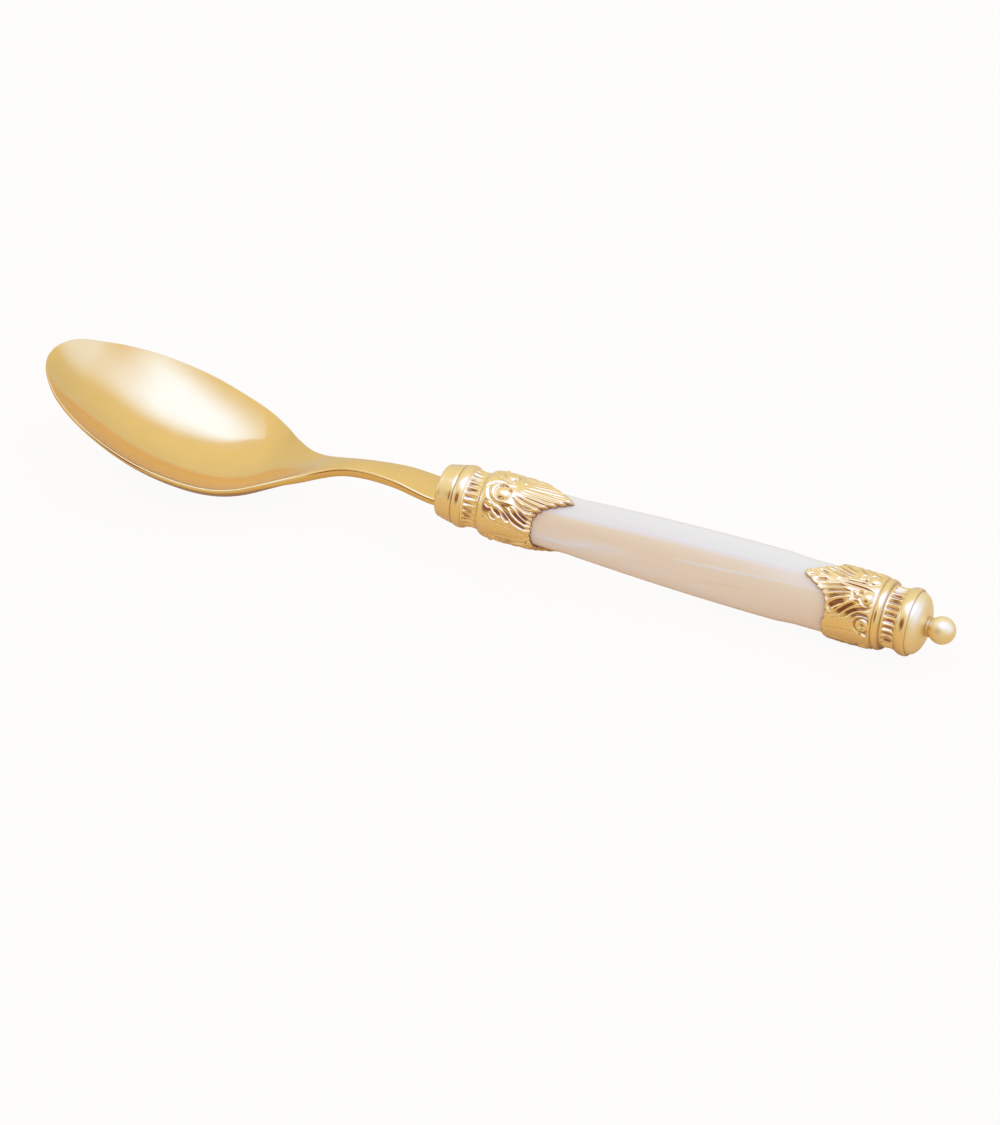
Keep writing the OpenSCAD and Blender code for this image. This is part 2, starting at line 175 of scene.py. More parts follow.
def metal(d, v):
    """Thickness of the metal: the bowl thins towards its rim."""
    deep = np.clip(hollow(d), 0, None) / BOWL_DEPTH * (1 - np.abs(v) ** SAG)
    rim_share = (1 - ease((d - THIN_FROM) / (THIN_TO - THIN_FROM))) * (1 - deep) ** 3
    return mix(curve(THICKNESS_LINE, d), RIM_T, rim_share)


def top_point(d, v):
    y = v * np.maximum(0.3, half_width(d) - EDGE_ROUND * metal(d, 1.0))
    return y, curve(RIM_LINE, d) - hollow(d) * (1 - np.abs(v) ** SAG)


def wall_lean(d, v):
    """The wall's slope across the bowl, as an angle."""
    slope = SAG * np.clip(hollow(d), 0, None) * np.abs(v) ** (SAG - 1) / np.maximum(NECK_W / 2, half_width(d))
    return np.arctan(slope)


def under_point(d, v):
    y, z = top_point(d, v)
    a, t = wall_lean(d, v), metal(d, v)
    return y + t * np.sign(v) * np.sin(a) * 0.55, z - t * (1 + np.cos(a)) / 2


BOWL_ROWS, BACK_ROWS, SHANK_ROWS = 56, 90, 39
TOP_POINTS, SIDE_POINTS = 73, 8
FIRST_ANGLE = 4  # where the first row lies on the tip's rounding, in degrees
NOSE_RINGS = ((0.8, 0.0), (0.5, 0.005))  # share of the first row's size, and how far before it


def spoon_blank(material):
    """Bowl, neck and shank: over the top from side to side, the rounded side face, then back underneath."""
    across = -np.cos(np.linspace(0, math.pi, TOP_POINTS))
    turns = np.linspace(0, 1, SIDE_POINTS + 2)[1:-1]
    bulge = (1 - np.abs(2 * turns - 1) ** 3.0) ** 0.6
    stations = np.concatenate([
        BOWL_FRONT * (1 - np.cos(np.radians(np.linspace(FIRST_ANGLE, 90, BOWL_ROWS)))),
        BOWL_FRONT + BOWL_BACK * np.linspace(0, 1, BACK_ROWS + 1)[1:],
        NECK_D + SHANK_LEN * np.linspace(0, 1, SHANK_ROWS + 1)[1:],
        [BLANK_LEN + SEAT],
    ])
    rings = []
    for station in stations:
        d = min(station, BLANK_LEN)
        top = np.stack(top_point(d, across), 1)
        under = np.stack(under_point(d, across), 1)
        sides = {}
        for way, rim in ((1.0, -1), (-1.0, 0)):
            a = wall_lean(d, way)
            out = 0.9 * EDGE_ROUND * metal(d, way) * np.array([way * math.cos(0.6 * a), 0.5 * math.sin(a)])
            sides[way] = mix(top[rim], under[rim], turns[:, None]) + bulge[:, None] * out
        ring = np.vstack([top, sides[1.0], under[::-1], sides[-1.0][::-1]])
        rings.append(np.column_stack([np.full(len(ring), station - BLANK_LEN), ring]))
    first = rings[0]
    nose = first.mean(0)
    for share, before in NOSE_RINGS:
        ring = nose + share * (first - nose)
        ring[:, 0] = first[0, 0] - before
        rings.insert(0, ring)
    return tube("bowl_and_shank", rings, material)


# Ferrules
# Strokes of the carving are drawn on the unrolled drum, as places (u, degrees): u in mm from the drum's start
# towards the leaf's tip, and degrees from the leaf's middle. Both halves of a leaf are alike.
# grooves, ribbons and dotted: (depth or height, width, places). bosses: (u, degrees, radius, height).
# rings: (u, degrees, radius, depth, width). notches: (degrees, u), with a lobe before each.
# flute and flute_shade: how deep the neck's flutes are, and how much painted shade lies in them.
# bevel, fall and edge_shade: how wide and how deep the slope at the leaf's edge is, and how much painted
# shade
# lies on it. x, way and turn: where u starts on the handle, which way it runs, and by how many degrees the
# leaf is turned about the handle.
FRONT = dict(
    reed_r=12.3 / 2, reed_len=3.7, lip=0.0, bore_r=12.6 / 2, leaf_t=1.2, turn=7.0,
    x=10.4, way=1, tip=20.3, bevel=1.25, fall=0.6, edge_shade=1.2,
    notches=[(7.5, 19.1), (15, 17.3), (23, 15.7), (31, 14.2), (41, 13.3), (51, 12.7),
             (60, 12.5), (74, 12.5), (90, 12.4)],
    lobes=[1.25, 0.55, 0.6, 0.4, 0.5, 0.4, 0.3, 0.35, 0.3],
    grooves=[
        (0.16, 0.27, [(9, 0), (14, 1.6), (19.4, 3)]),
        (0.18, 0.28, [(8.8, 7), (12, 8.5), (16.5, 9.8), (19.2, 8.2)]),
        (0.18, 0.28, [(9, 13), (12, 15), (15.5, 17), (17.5, 15.5)]),
        (0.18, 0.28, [(8.8, 19), (12, 22), (14.5, 24), (15.9, 23.2)]),
        (0.30, 0.30, [(8, 22), (10, 27), (12.3, 31), (14.4, 31)]),
        (0.40, 0.32, [(7.5, 27), (9, 35), (11, 41.5), (13.4, 41)]),
        (0.60, 0.32, [(9.0, 43), (10.5, 51), (12.7, 60)]),
        (0.62, 0.34, [(7.5, 44), (8.8, 51), (10.2, 58), (12.7, 67)]),
        (0.66, 0.36, [(5.3, 46), (7.2, 55), (9.5, 67), (12.7, 76)]),
        (0.66, 0.38, [(5.6, 54), (6.8, 61), (8, 69)]),
        (0.62, 0.36, [(3.6, 51), (5, 57), (6, 65)]),
        (0.50, 0.30, [(3.3, 62), (4.8, 70)]),
        (0.26, 0.30, [(1.4, 5), (1.6, 20), (2.3, 33), (3.6, 41), (5.3, 45)]),
        (0.30, 0.30, [(0.7, 20), (1.7, 12), (3.4, 5), (6.6, 0)]),
        (0.45, 0.26, [(3.5, 12), (4.0, 9.5), (4.6, 8)]),
        (0.50, 0.26, [(4.5, 33.5), (5.2, 33), (5.7, 31)]),
        (0.55, 0.24, [(6.0, 16), (6.4, 14), (6.7, 15.5)]),
        (0.40, 0.30, [(10.0, 36), (11.2, 38), (12.4, 37)]),
    ],
    ribbons=[
        (0.26, 0.50, [(8.5, 1), (5.5, 3), (3.4, 9), (2.6, 20), (3.2, 31), (5, 37), (7.5, 38), (10, 42)]),
        (0.20, 0.42, [(3.0, 49), (6.4, 51), (9.4, 60), (12.4, 71)]),
        (0.20, 0.36, [(7.0, 40), (9.0, 46), (10.8, 55), (12.6, 63)]),
    ],
    dotted=[(0.30, 0.20, [(2, 68), (5.5, 77), (9, 80), (12.4, 86)])],
    bosses=[(5.0, 22.5, 1.55, 0.42), (2.8, 45.5, 0.6, 0.3), (8.7, 10.5, 0.5, 0.2)],
    rings=[(5.0, 22.5, 1.72, 0.25, 0.2), (2.8, 45.5, 0.75, 0.2, 0.15)],
    flute=lambda u: np.interp(u, [-3.7, -2.4, -0.2], [1.0, 0.6, 0.35]),
    flute_shade=lambda u: np.interp(u, [-3.4, -3.0, -2.4, -1.8], [0.2, 0.9, 0.5, 0]),
)
REAR = dict(
    reed_r=13.2 / 2, reed_len=5.3, lip=1.8, bore_r=14.8 / 2, leaf_t=0.8, turn=18.0,
    x=102.2, way=-1, tip=17.3, bevel=0.4, fall=0.4, edge_shade=0.4,
    notches=[(9.5, 15.1), (17, 13.2), (23, 11.9), (30, 11.0), (39, 10.5), (52, 10.2), (66, 10.2), (90, 10.4)],
    lobes=[1.8, 0.5, 0.9, 0.4, 0.3, 0.3, 0.2, 0.6],
    grooves=[
        (0.30, 0.30, [(14.0, 1), (15.0, 3.5), (15.8, 7)]),
        (0.40, 0.32, [(11.5, 5), (12.8, 7), (13.9, 9)]),
        (0.40, 0.32, [(7, 8), (9, 10), (12.3, 17)]),
        (0.48, 0.36, [(6, 14.5), (8, 16), (10.2, 20), (11.8, 24)]),
        (0.55, 0.40, [(6, 18.5), (8.5, 24), (10.3, 31), (10.4, 37)]),
        (0.66, 0.50, [(6, 27), (8, 34), (9.4, 43), (9.4, 51)]),
        (0.62, 0.42, [(3.4, 29), (5, 33), (7, 47), (8.5, 56)]),
        (0.62, 0.42, [(0.1, 28), (1.5, 34), (3.5, 38), (5, 45), (6.5, 57)]),
        (0.55, 0.36, [(0.2, 50), (1.5, 45), (3.5, 46), (4.5, 57)]),
        (0.45, 0.26, [(1.0, 27), (1.6, 29.5), (2.4, 28.5)]),
        (0.50, 0.26, [(3.2, 12), (3.7, 10.5), (4.1, 11.5)]),
        (0.40, 0.24, [(3.7, 19), (4.3, 20.5), (4.9, 19)]),
        (0.30, 0.30, [(0.4, 12), (1.2, 7), (3.0, 4.5), (6.5, 3), (9.5, 1)]),
        (0.60, 0.26, [(0.1, 76), (0.9, 76.5), (1.7, 73)]),
    ],
    ribbons=[
        (0.18, 0.40, [(0.3, 20), (0.7, 30), (2.5, 36.5), (4.3, 38), (6.5, 50)]),
        (0.16, 0.36, [(4.2, 25), (6.6, 36), (8.4, 50), (8.8, 58)]),
    ],
    dotted=[(0.28, 0.2, [(1.8, 77), (4, 76), (7.5, 79), (9.8, 82)])],
    bosses=[(1.8, 17.5, 1.35, 0.42), (3.5, 16.5, 0.42, 0.26), (4.9, 13.5, 0.5, 0.3)],
    rings=[(1.8, 17.5, 1.55, 0.2, 0.2), (1.75, 62, 0.0, 0.55, 0.55), (1.75, 62, 1.75, 0.5, 0.36)],
    flute=lambda u: 1.25,
    flute_shade=lambda u: 0.75,
)
COLUMNS = 420
NECK_ROWS, SHOULDER_ROWS, LEAF_ROWS = 30, 20, 126
SHOULDER = 2.0
FLUTES = 28  # around the neck
FLUTE_DEPTH = 0.35
FLARE = 0.35
CROWN_R = 0.25
DOT_STEP = 0.62
# a cut's darkening, from these depths on, is painted shade
SHADE_FROM, SHADE_OVER = 0.24, 0.36  # the depth at which a cut starts to darken, and over how much


def smooth_line(points, unit, pieces=6):
    """A smooth line through (u, degrees) points, as (u, arc length) points."""
    p = np.array(points, float) * (1, unit)
    p = np.vstack([2 * p[0] - p[1], p, 2 * p[-1] - p[-2]])
    out = []
    for i in range(1, len(p) - 2):
        for q in np.arange(pieces) / pieces:
            out.append(0.5 * (2 * p[i] + (p[i + 1] - p[i - 1]) * q
                              + (2 * p[i - 1] - 5 * p[i] + 4 * p[i + 1] - p[i + 2]) * q ** 2
                              + (3 * p[i] - p[i - 1] - 3 * p[i + 1] + p[i + 2]) * q ** 3))
    return np.array(out + [p[-2]])


def nearest(u, s, line):
    """Distance from a line, how far along it the nearest place is, and the line's length."""
    best, place, run = np.full(u.shape, 1e9), np.zeros(u.shape), 0.0
    for a, b in zip(line[:-1], line[1:]):
        ab = b - a
        size = math.hypot(*ab)
        q = np.clip(((u - a[0]) * ab[0] + (s - a[1]) * ab[1]) / size ** 2, 0, 1)
        d = np.hypot(u - a[0] - q * ab[0], s - a[1] - q * ab[1])
        closer = d < best
        best, place = np.where(closer, d, best), np.where(closer, run + q * size, place)
        run += size
    return best, place, run


def relief(u, s, spec):
    """Height of the carving over the drum, in mm, and its painted shade: 0 plain, 1 darkest in the deep
    recesses.
    """
    unit = math.radians(1) * (spec["bore_r"] + spec["leaf_t"])
    cut, rise = np.zeros(u.shape), np.zeros(u.shape)
    for depth, width, points in spec["grooves"]:
        d, place, whole = nearest(u, s, smooth_line(points, unit))
        swell_in = step(-0.1, 0.3 * whole, place) * step(-0.1, 0.25 * whole, whole - place)
        wide = width * (0.6 + 0.4 * swell_in)
        cut = np.maximum(cut, depth * (0.35 + 0.65 * swell_in) * np.exp(-(d / wide) ** 2.2))
        rise = np.maximum(rise, 0.18 * depth * swell_in * np.exp(-((d - 2.1 * width) / (0.8 * width)) ** 2))
    for depth, width, points in spec["dotted"]:
        d, place, whole = nearest(u, s, smooth_line(points, unit))
        beads = 0.65 + 0.35 * np.cos(2 * math.pi * place / DOT_STEP)
        cut = np.maximum(cut, depth * beads * np.exp(-(d / width) ** 2))
    for height, width, points in spec["ribbons"]:
        d, place, whole = nearest(u, s, smooth_line(points, unit))
        fade = step(0, 0.2 * whole, place) * step(0, 0.3 * whole, whole - place)
        rise = np.maximum(rise, height * fade * np.exp(-(d / width) ** 2))
    for cu, angle, r, depth, width in spec["rings"]:
        d = np.hypot(u - cu, s - angle * unit)
        cut = np.maximum(cut, depth * np.exp(-((d - r) / width) ** 2))
    boss = np.zeros(u.shape)
    for cu, angle, r, height in spec["bosses"]:
        d = np.hypot(u - cu, s - angle * unit)
        boss = np.maximum(boss, height * np.clip(1 - (d / r) ** 2, 0, 1) ** 0.8)
        cut = np.where(d < r, 0.15 * cut, cut)
    return np.maximum(rise, boss) - cut, np.clip((cut - SHADE_FROM) / SHADE_OVER, 0, 1)


def leaf_edge(fold, spec):
    """How far the leaf reaches, with a rounded lobe between each two notches, and how near a notch it is."""
    first_angle, first_reach = spec["notches"][0]
    angles, reaches = np.array([(-first_angle, first_reach)] + spec["notches"], float).T
    i = np.clip(np.searchsorted(angles, fold, side="right") - 1, 0, len(angles) - 2)
    q = (fold - angles[i]) / (angles[i + 1] - angles[i])
    reach = mix(reaches[i], reaches[i + 1], q) + np.array(spec["lobes"])[i] * (1 - np.abs(2 * q - 1) ** 2.4)
    return reach, np.abs(2 * q - 1) ** 1.5


def neck_rows(spec, off_middle):
    """Rows (u, radius, shade) of the reeded neck, with painted shade in its flutes and at its end next to the
    drum.
    """
    reed_r, reed_len, lip = spec["reed_r"], spec["reed_len"], spec["lip"]
    flute = ((1 - np.cos(np.radians(off_middle * FLUTES))) / 2) ** 0.8
    rows = []
    for u in np.linspace(-reed_len, -lip - 0.25, NECK_ROWS):
        ends = step(-reed_len + 0.15, -reed_len + 0.6, u) * step(-lip - 0.4, -lip - 0.85, u)
        r = reed_r + FLARE * (2 * (u + lip) / (reed_len - lip) + 1) ** 2
        cut = FLUTE_DEPTH * spec["flute"](u) * ends * flute
        rows.append((u, r - cut + 0.1 * ends * (1 - flute), spec["flute_shade"](u) * ends * flute ** 3))
    return rows + [(-lip - 0.1, reed_r + FLARE, 0.5)]


def lip_rows(lip, lip_r):
    """Rows of the plain rounded lip at the drum's start, with painted shade in the crease at its foot."""
    rows = []
    for q in (0, 0.06, 0.14, 0.25, 0.4, 0.55, 0.7, 0.82, 0.92, 1):
        round_off = 1 - (1 - q / 0.6) ** 2.2 if q < 0.6 else 1 - ((q - 0.6) / 0.4) ** 2.5
        rows.append((-lip * (1 - q), lip_r + CROWN_R * (1.5 * round_off - 1), 0.6 * (1 - round_off) ** 3))
    return rows


def drum_rows(spec, fold, lip_r):
    """Rows of the drum: its shoulder, the carved leaf out to the edge, then back inside. Painted shade lies
    in the carving's cuts, on the slope at the leaf's edge, most at its notches, and on the wall and inside of
    the edge.
    """
    bore_r, t = spec["bore_r"], spec["leaf_t"]
    drum_r = bore_r + t
    edge, notch = leaf_edge(fold, spec)
    rising = np.radians(np.linspace(6, 84, SHOULDER_ROWS))[:, None] + np.zeros(len(fold))
    share = np.linspace(0, 1, LEAF_ROWS)[:, None]
    u = np.vstack([SHOULDER * (1 - np.cos(rising)), mix(SHOULDER + 0.1, edge, share)])
    body = np.vstack([mix(lip_r, drum_r, np.sin(rising)), np.full((LEAF_ROWS, len(fold)), drum_r)])
    height, dark = relief(u, np.radians(fold) * drum_r + np.zeros(u.shape), spec)
    slope = 1 - np.clip((edge - u) / spec["bevel"], 0, 1)
    droop = 0.1 * t * np.clip((u - 2) / 12, 0, 1) + spec["fall"] * t * slope ** 1.8
    r = np.maximum(body + height * step(0.15, 0.9, u) - droop, bore_r + 0.18)
    # painted shade on the slope at the leaf's edge, deepest at the notches
    edge_dark = spec["edge_shade"] * slope * (0.35 + 0.65 * notch) * step(60, 45, fold)
    rows = list(zip(u, r, np.maximum(dark * step(0.1, 0.6, u), edge_dark)))
    # painted shade on the edge's wall and inside it
    return rows + [(edge + 0.1, mix(bore_r, r[-1], 0.5), 0.9), (edge + 0.14, bore_r, 1.0), (1.1, bore_r, 1.0)]


def leaf_rings(spec):
    """Rings and painted shades of a reeded neck and its drum, from the bead to the leaf's edge and back
    inside.
    """
    angle = np.linspace(0, 360, COLUMNS, endpoint=False)
    off_middle = (angle + spec["turn"] + 90) % 180 - 90
    lip_r = mix(spec["reed_r"] + FLARE, spec["bore_r"] + spec["leaf_t"], 0.6 if spec["lip"] else 0)
    rows = neck_rows(spec, off_middle)
    if spec["lip"]:
        rows += lip_rows(spec["lip"], lip_r)
    rows += drum_rows(spec, np.abs(off_middle), lip_r)
    a = np.radians(angle)
    rings, shades = [], []
    for u, r, shade in rows:
        x = spec["x"] + spec["way"] * (u + np.zeros(COLUMNS))
        rings.append(np.stack([x, r * np.sin(a), r * np.cos(a)], 1))
        shades.append(shade + np.zeros(COLUMNS))
    return rings, shades


# Shades: painted shade in the seams and on the finial's stem, and the full painted sheen of the dome and the
# ball.
SEAM_SHADE, STEM_SHADE, PAINTED_SHEEN = 0.7, 0.4, -1.0
HOLE_R = 0.5  # the first ring of each ferrule, around the fan that closes it
STEM_R = 2.2


def swell(x0, x1, r0, r1, crest_r, n=14):
    """Rows (x, radius) of a bead between two rings, with its crest at a radius."""
    q = np.linspace(0, math.pi, n)
    t = (1 - np.cos(q)) / 2
    return list(zip(mix(x0, x1, t), mix(r0, r1, t) + (crest_r - (r0 + r1) / 2) * np.sin(q)))


def plain_shades(rows, seam, beyond=0.0):
    """Shades of the turned rows: painted shade at the seam, plain before it, and another shade beyond it."""
    shades = [SEAM_SHADE if abs(x - seam) < 0.02 else beyond if x > seam else 0.0 for x, _ in rows]
    return [np.full(COLUMNS, shade) for shade in shades]


def front_ferrule(material):
    """Collar, bead, reeded neck and leaf drum."""
    face_r, collar_r, corner, length, gap = 5.9, 6.6, 0.7, 4.2, 0.2
    crest_r = 7.0
    rows = [(0, HOLE_R), (0, 3.0)]
    for a in np.radians(np.linspace(0, 90, 10)):
        rows.append((corner * (1 - math.cos(a)), face_r - corner * (1 - math.sin(a))))
    for t in (0.2, 0.4, 0.6, 0.8, 1.0):
        widening = math.sin(t * math.pi / 2) * 0.25 + 0.75 * t
        rows.append((mix(corner, length - gap, t), mix(face_r, collar_r, widening)))
    bead_end = FRONT["x"] - FRONT["reed_len"]
    rows += swell(length, bead_end, collar_r - gap, FRONT["reed_r"] + FLARE, crest_r)
    rings, shades = leaf_rings(FRONT)
    rings = turned_rings(rows, COLUMNS) + rings
    return tube("front_ferrule_cast", rings, material, plain_shades(rows, length) + shades)


def end_ferrule(material):
    """Leaf drum with a plain lip, reeded neck, bead and domed cap. Its rings run from the cap inwards."""
    crest_r, bead_r, bead_end = 7.5, 7.2, 109.9
    dome_end, dome_r, dome_h, top_r, power = 112.7, 6.9, 2.8, 2.7, 0.75
    stop = math.acos((top_r / dome_r) ** (1 / power))
    rows = [(dome_end, HOLE_R), (dome_end, STEM_R)]
    for a in np.linspace(stop, 0, 24):
        rows.append((bead_end + dome_h * math.sin(a) / math.sin(stop), dome_r * math.cos(a) ** power))
    rows += swell(bead_end, REAR["x"] + REAR["reed_len"], bead_r, REAR["reed_r"] + FLARE, crest_r)
    rings, shades = leaf_rings(REAR)
    # this ferrule runs the other way, so each ring is turned round to keep its faces outwards
    rings = [ring[::-1] for ring in turned_rings(rows, COLUMNS) + rings]
    # the dome beyond the bead takes the painted sheen
    shades = plain_shades(rows, bead_end, PAINTED_SHEEN) + [shade[::-1] for shade in shades]
    return tube("end_ferrule_cast", rings, material, shades)


# Grip and finial
GRIP_COLUMNS = 300
GRIP_GAP = 0.5  # from the tips of the leaves to where the barrel starts
GRIP_D = (12.4, 15.2, 14.6)
FRONT_SEAT, REAR_SEAT = (11.52, 6.2), (101.08, 7.3)
FINIAL_COLUMNS = 96


def on_line(x, angle, places, width):
    """1 on a line through (x, degrees) places, and fading away over a width in degrees."""
    xs, angles = zip(*places)
    return np.exp(-((angle - np.interp(x, xs, angles)) / width) ** 2)


def pearl_tone(x, angle):
    """0 for peach, 1 for white: the drawn-out clouds of the pearl, with a painted sheen over the top and
    painted light underneath. Angles in degrees towards the front.
    """
    # white below an edge that slopes down along the grip, peach above it. The white over the top is partly
    # the pearl's own banding and partly a painted sheen.
    edge = np.interp(x, [26, 40, 50, 60, 70, 80, 90], [39, 35, 31, 29, 27, 25, 18])
    tone = 0.16 + 0.58 * step(edge + 7, edge - 5, angle)
    tone += 0.34 * np.maximum(step(-4, -26, angle), step(58, 74, x) * step(24, -4, angle))
    # white lines and clouds
    tone += 0.2 * step(70, 84, x) * on_line(x, angle, [(70, 36)], 8)
    upper = on_line(x, angle, [(56, 58.5), (62, 56), (70, 52), (80, 46.5), (90, 42)], 1.9)
    tone += 0.6 * step(54, 62, x) * (1 - 0.5 * step(70, 86, x)) * upper
    tone += 0.45 * step(50, 36, x) * on_line(x, angle, [(24, 112), (30, 96), (36, 82), (44, 73), (52, 66)], 9)
    # darker lines
    lower = on_line(x, angle, [(28, -9), (40, -12), (52, -15), (62, -18)], 3)
    tone -= 0.12 * step(28, 36, x) * step(64, 54, x) * lower
    thin = on_line(x, angle, [(53, 113), (57, 100), (62, 88), (68, 78), (76, 71)], 1.8)
    tone -= 0.2 * step(51, 56, x) * step(80, 68, x) * thin
    # paler from 60 degrees towards the front and on round the underside, which is painted light, and two
    # slanted clouds on the side away from the front
    tone += 0.25 * step(60, 100, angle) * step(88, 60, x)
    wave = 0.5 + 0.5 * np.sin(np.radians(2.6 * angle + 3.1 * x))
    return tone - (0.35 + 0.3 * wave) * step(-44, -80, angle) * step(-180, -130, angle)


def grip(material):
    """A slim barrel, whose ends sit in the ferrules."""
    start, end = FRONT["x"] + FRONT["tip"] + GRIP_GAP, REAR["x"] - REAR["tip"] - GRIP_GAP
    widest = mix(end, start, 0.1)
    start_d, widest_d, end_d = GRIP_D
    rows = [FRONT_SEAT]
    for q in np.linspace(0, 1, 120):
        rows.append((mix(start, widest, q), mix(widest_d, start_d, (1 - q) ** 2) / 2))
    for q in np.linspace(0, 1, 16)[1:]:
        rows.append((mix(widest, end, q), mix(widest_d, end_d, float(ease(q))) / 2))
    rows.append(REAR_SEAT)
    angle = (180 - np.linspace(0, 360, GRIP_COLUMNS, endpoint=False)) % 360 - 180
    tones = [pearl_tone(np.full(GRIP_COLUMNS, x), angle) for x, _ in rows]
    return tube("pearl_grip", turned_rings(rows, GRIP_COLUMNS), material, tones)


def finial(material):
    """A grooved stem and a ball."""
    start, stem_end, centre, ball_r, groove_depth = 112.7, 113.8, 115.912, 3.05, 0.2
    groove = mix(start, stem_end, 0.4)
    groove_r = STEM_R - groove_depth
    rows = [(start + 0.01, STEM_R), (groove - 0.2, STEM_R), (groove - 0.05, groove_r)]
    rows += [(groove + 0.05, groove_r), (groove + 0.2, STEM_R), (stem_end - 0.05, STEM_R)]
    stem = len(rows)
    for q in np.linspace(math.asin(STEM_R / ball_r), math.pi - 0.02, 48):
        rows.append((centre - ball_r * math.cos(q), ball_r * math.sin(q)))
    # painted shade on the stem, and a painted sheen on the ball
    shades = [np.full(FINIAL_COLUMNS, STEM_SHADE if i < stem else PAINTED_SHEEN) for i in range(len(rows))]
    return tube("ball_finial", turned_rings(rows, FINIAL_COLUMNS), material, shades)


# Nodes
WHITE = (1, 1, 1, 1)


def feed(tree, sockets, values):
    """Sockets by name or number: each takes a plain value, or a link from another node's output."""
    for key, value in values.items():
        if isinstance(value, bpy.types.NodeSocket):
            tree.links.new(value, sockets[key])
        else:
            sockets[key].default_value = value


def node(tree, kind, inputs=None, **settings):
    n = tree.nodes.new(kind)
    for name, value in settings.items():
        setattr(n, name, value)
    feed(tree, n.inputs, inputs or {})
    return n


def maths(tree, operation, *values, clamp=False):
    inputs = dict(enumerate(values))
    return node(tree, "ShaderNodeMath", inputs, operation=operation, use_clamp=clamp).outputs[0]


def between(tree, value, low, high):
    """0 below low, 1 above high, smooth between."""
    inputs = {"Value": value, "From Min": low, "From Max": high}
    return node(tree, "ShaderNodeMapRange", inputs, interpolation_type="SMOOTHSTEP").outputs["Result"]


def noise(tree, place, scale, detail, roughness=0.5):
    inputs = {"Vector": place, "Scale": scale, "Detail": detail, "Roughness": roughness}
    return node(tree, "ShaderNodeTexNoise", inputs).outputs["Fac"]


def ramp(tree, factor, stops):
    n = node(tree, "ShaderNodeValToRGB", {"Fac": factor})
    while len(n.color_ramp.elements) < len(stops):
        n.color_ramp.elements.new(0.5)
    for element, (position, colour) in zip(n.color_ramp.elements, stops):
        element.position = position
        element.color = (*colour, 1)
    return n.outputs["Color"]


def blended(tree, factor, colour, other):
    """A colour that turns into another one as the factor goes from 0 to 1."""
    inputs = {"Factor": factor, "A": colour, "B": (*other, 1)}
    return node(tree, "ShaderNodeMix", inputs, data_type="RGBA").outputs["Result"]


def shaders_mixed(tree, factor, first, second):
    return node(tree, "ShaderNodeMixShader", {0: factor, 1: first, 2: second}).outputs[0]


# Materials
COAT = {"Coat Weight": 1, "Coat IOR": 1.7, "Coat Roughness": 0.3}
CLOUD_SCALE, GRAIN_SCALE, GRAIN_DEPTH = 180.0, 2500.0, 0.0001
DULL = 0.26  # roughness that the palest places have on top
PEARL_STRETCH = (7, 160, 160)
PEARL_STOPS = [(0.16, (0.80, 0.66, 0.52)), (0.34, (0.95, 0.79, 0.61)), (0.62, (0.96, 0.87, 0.76)),
               (0.92, (0.93, 0.88, 0.87)), (1.0, (0.95, 0.95, 0.95))]


def new_material(name):
    mat = bpy.data.materials.new(name)
    mat.use_nodes = True
    tree = mat.node_tree
    return mat, tree, tree.nodes["Principled BSDF"]


def coated_metal(name, low, high, rough, bump, painted_shade_colour=None, pale=None):
    """Metal of two close tones under a soft coat. Positive shades of the mesh bring in a colour of painted
    shade, and negative ones bring in the pale colour of a painted sheen, and more roughness."""
    mat, tree, shader = new_material(name)
    place = node(tree, "ShaderNodeTexCoord").outputs["Object"]
    cloud = noise(tree, place, CLOUD_SCALE, 3.0)
    colour = ramp(tree, cloud, [(0.35, low), (0.65, high)])
    span = {"Value": cloud, "To Min": rough[0], "To Max": rough[1]}
    roughness = node(tree, "ShaderNodeMapRange", span).outputs["Result"]
    if painted_shade_colour:
        shade = node(tree, "ShaderNodeAttribute", attribute_name="shade").outputs["Fac"]
        sheen_share = maths(tree, "MULTIPLY", shade, -1.0, clamp=True)
        colour = blended(tree, shade, colour, painted_shade_colour)
        colour = blended(tree, sheen_share, colour, pale)
        roughness = maths(tree, "MULTIPLY_ADD", sheen_share, DULL, roughness, clamp=True)
    grain = {"Height": noise(tree, place, GRAIN_SCALE, 2.0), "Strength": bump, "Distance": GRAIN_DEPTH}
    normal = node(tree, "ShaderNodeBump", grain).outputs["Normal"]
    feed(tree, shader.inputs, {"Base Color": colour, "Metallic": 1, "Roughness": roughness, "Normal": normal})
    feed(tree, shader.inputs, COAT)
    return mat


def pearl(name):
    """Polished pearl: the mesh's tones from peach to white, stirred by noise that is drawn out lengthwise.
    Besides the pearl's clouds, the tones hold a painted sheen over the top and painted light underneath.
    """
    mat, tree, shader = new_material(name)
    place = node(tree, "ShaderNodeTexCoord").outputs["Object"]
    drawn_out = node(tree, "ShaderNodeMapping", {"Vector": place, "Scale": PEARL_STRETCH}).outputs["Vector"]
    veins = noise(tree, drawn_out, 1.0, 4.0, 0.55)
    tone = node(tree, "ShaderNodeAttribute", attribute_name="shade").outputs["Fac"]
    colour = ramp(tree, maths(tree, "MULTIPLY_ADD", veins, 0.5, tone), PEARL_STOPS)
    feed(tree, shader.inputs, {"Base Color": colour, "Roughness": 0.16, "Specular IOR Level": 0.22})
    return mat


polished = coated_metal("polished_gold", (0.84, 0.545, 0.125), (0.86, 0.56, 0.135), (0.08, 0.11), 0.02)
# the cast gold's red-brown is painted shade for its cuts and creases, and its pale cream a painted sheen
cast = coated_metal("cast_gold", (0.95, 0.69, 0.235), (0.97, 0.71, 0.26), (0.20, 0.26), 0.05,
                    painted_shade_colour=(0.36, 0.12, 0.03), pale=(0.98, 0.80, 0.36))
steel = coated_metal("rod_steel", (0.55, 0.55, 0.55), (0.62, 0.62, 0.62), (0.3, 0.4), 0.1)
acrylic = pearl("pearl_acrylic")

